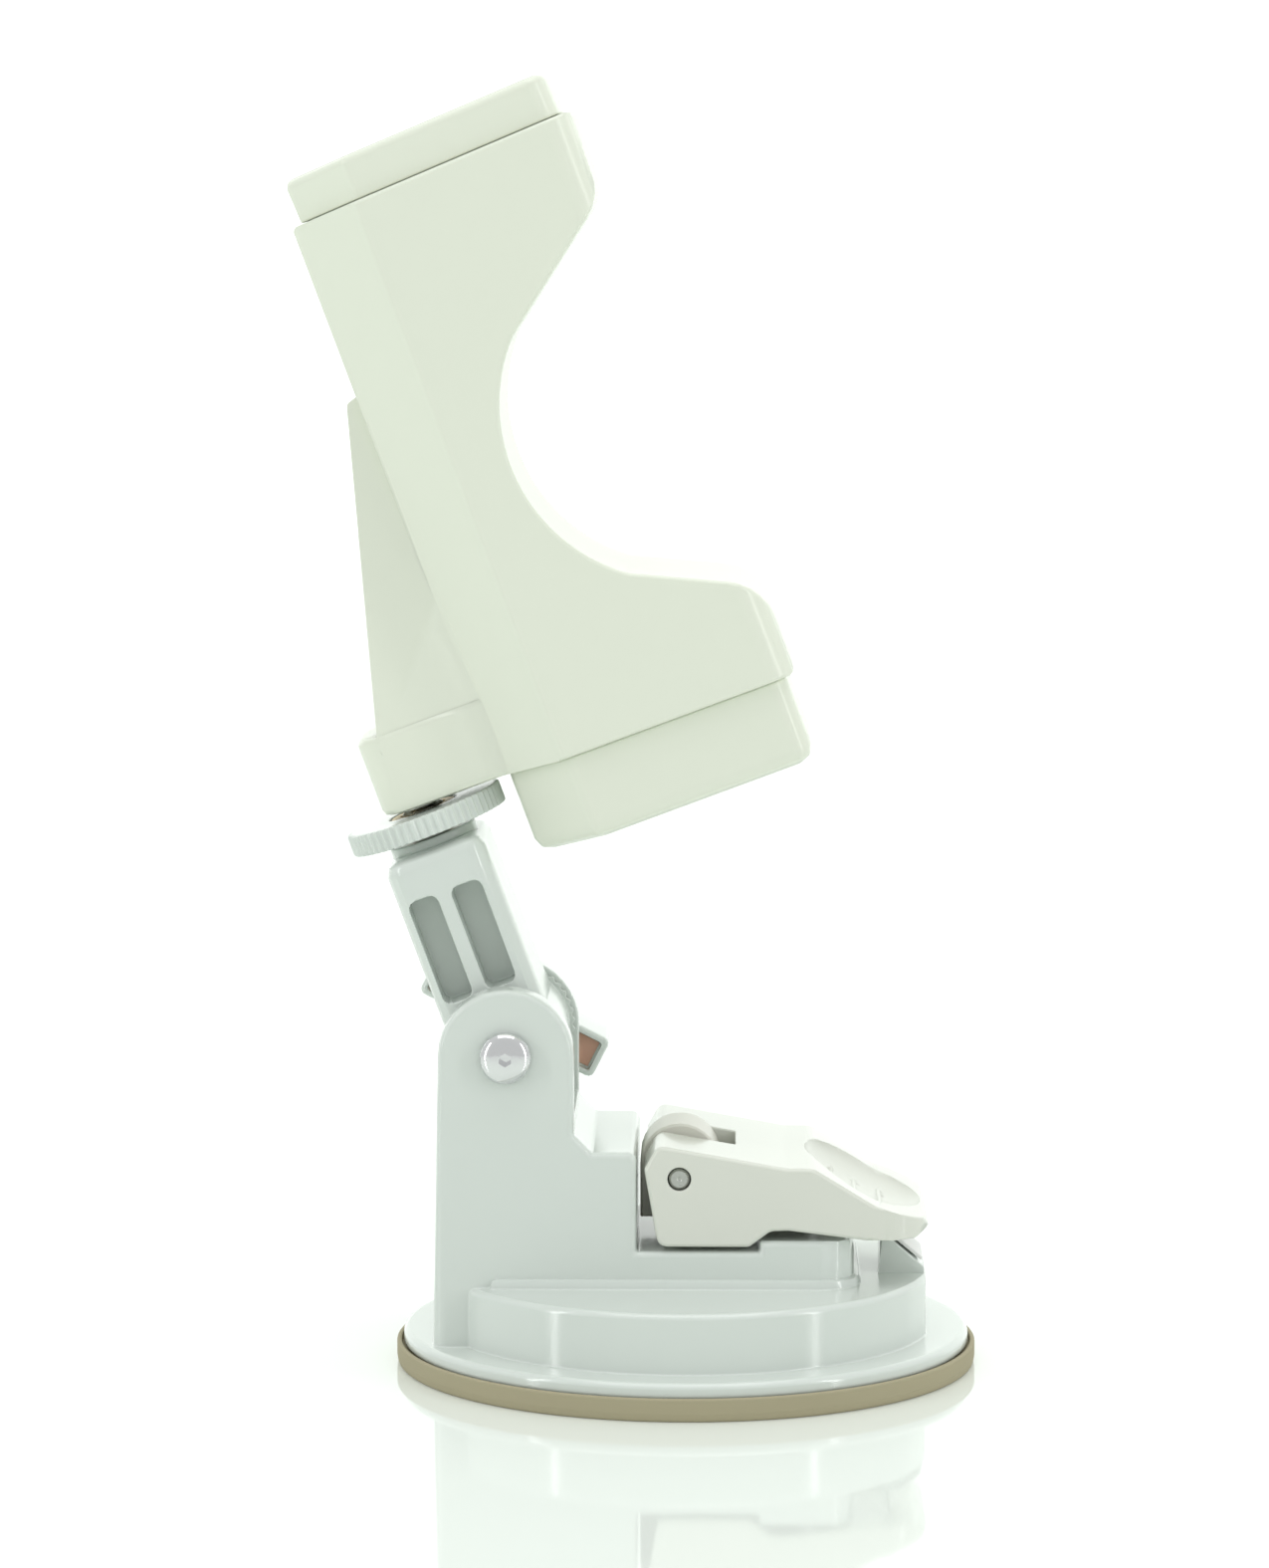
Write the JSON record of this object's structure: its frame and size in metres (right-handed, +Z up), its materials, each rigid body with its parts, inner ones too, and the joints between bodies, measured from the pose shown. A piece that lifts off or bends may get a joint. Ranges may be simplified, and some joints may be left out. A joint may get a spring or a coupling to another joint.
{
  "type": "suction mount with saddle grip",
  "caption": "Lever-locked suction mount with a tilting arm and lock wheel carrying a hollow C-shaped saddle grip.",
  "frame": {"origin": "on the surface the cup sticks to, under the middle of the bounding box", "axes": "+Z up from the suction surface, +X towards the tip of the clamp lever, -Y towards the domed head of the tilt bolt"},
  "size_m": [0.0998, 0.085, 0.1877],
  "materials": {
    "housing_white": "glossy moulded ABS",
    "lever_white": "slightly warm white moulded plastic",
    "grip_cream": "milky cream, faintly translucent satin plastic",
    "cup_rubber": "soft tan rubber",
    "bolt_chrome": "polished",
    "steel": "bright zinc-plated",
    "dark_washer": "dark friction material",
    "brass": "turned brass",
    "pad_white": "plain printed-label film, no marks",
    "stem_white": "natural acetal"
  },
  "bodies": {
    "base": {"base_housing": "housing_white", "suction_cup": "cup_rubber", "indicator_pad": "pad_white", "return_spring": "steel", "pivot_bolt": "bolt_chrome", "friction_washer_front": "dark_washer", "friction_washer_rear": "housing_white", "knob_washer": "steel"},
    "stem": {"pull_stem": "stem_white", "diaphragm_plate": "steel", "lever_pin": "steel"},
    "lever": {"cam_lever": "lever_white"},
    "knob": {"wing_knob": "housing_white", "knob_nut": "brass"},
    "arm": {"tilt_arm": "housing_white", "pivot_bush": "steel", "tripod_stud": "steel"},
    "wheel": {"lock_wheel": "housing_white", "wheel_insert": "brass"},
    "grip": {"grip_shell": "grip_cream", "top_cap": "grip_cream", "bottom_plug": "grip_cream", "threaded_insert": "brass"}
  },
  "joints": [
    {"name": "arm_tilt", "type": "hinge", "parent": "base", "child": "arm", "pos_m": [-0.01844, 0, 0.0477], "axis": [0, 1, 0], "range_deg": [-65, 25]},
    {"name": "grip_swivel", "type": "hinge", "parent": "arm", "child": "grip", "pos_m": [-0.03147, 0, 0.08254], "axis": [-0.3502, 0, 0.9367], "continuous": true},
    {"name": "stem_drop", "type": "slide", "parent": "base", "child": "stem", "axis": [0, 0, -1], "range_m": [0, 0.00198], "deforming": ["return_spring", "suction_cup"]},
    {"name": "lever_lift", "type": "hinge", "parent": "stem", "child": "lever", "pos_m": [0.00651, 0, 0.03], "axis": [0, -1, 0], "range_deg": [0, 95]},
    {"name": "knob_turn", "type": "hinge", "parent": "base", "child": "knob", "pos_m": [-0.01844, 0.025, 0.0477], "axis": [0, 1, 0], "range_deg": [-20, 360]},
    {"name": "wheel_turn", "type": "hinge", "parent": "arm", "child": "wheel", "pos_m": [-0.03056, 0, 0.08011], "axis": [-0.3502, 0, 0.9367], "range_deg": [-168, 168]}
  ],
  "couplings": [
    {"joint": "lever_lift", "follows": "stem_drop", "rad_per_m": 833.33}
  ]
}
